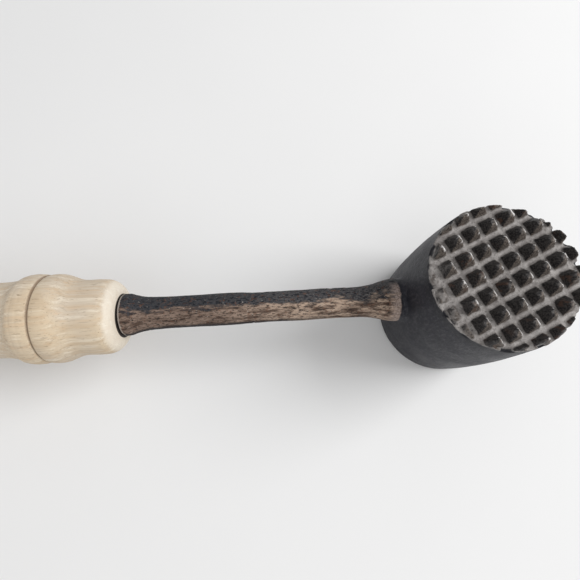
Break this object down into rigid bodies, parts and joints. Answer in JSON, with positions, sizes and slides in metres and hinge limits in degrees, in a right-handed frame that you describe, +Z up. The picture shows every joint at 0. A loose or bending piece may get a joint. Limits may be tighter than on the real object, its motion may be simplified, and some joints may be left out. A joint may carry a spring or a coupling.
{
  "type": "meat mallet",
  "caption": "Meat mallet: a round iron head with a toothed face, cast in one with a slim round shank, and a turned wooden handle with two beads.",
  "frame": {"origin": "centre of the head's flat base face, the face it stands on", "axes": "+Z up the head's axis to the toothed face, +X along the shank from the handle to the head, +Y completes the right-handed frame"},
  "size_m": [0.2775, 0.053, 0.0672],
  "materials": {
    "iron": "dark worn casting, smooth on the head's side, rough and slightly rusty on the shank",
    "handle_wood": "bare pale wood, fine straight grain along the handle"
  },
  "bodies": {
    "root": {"head_and_shank": "iron", "handle": "handle_wood"}
  },
  "joints": []
}
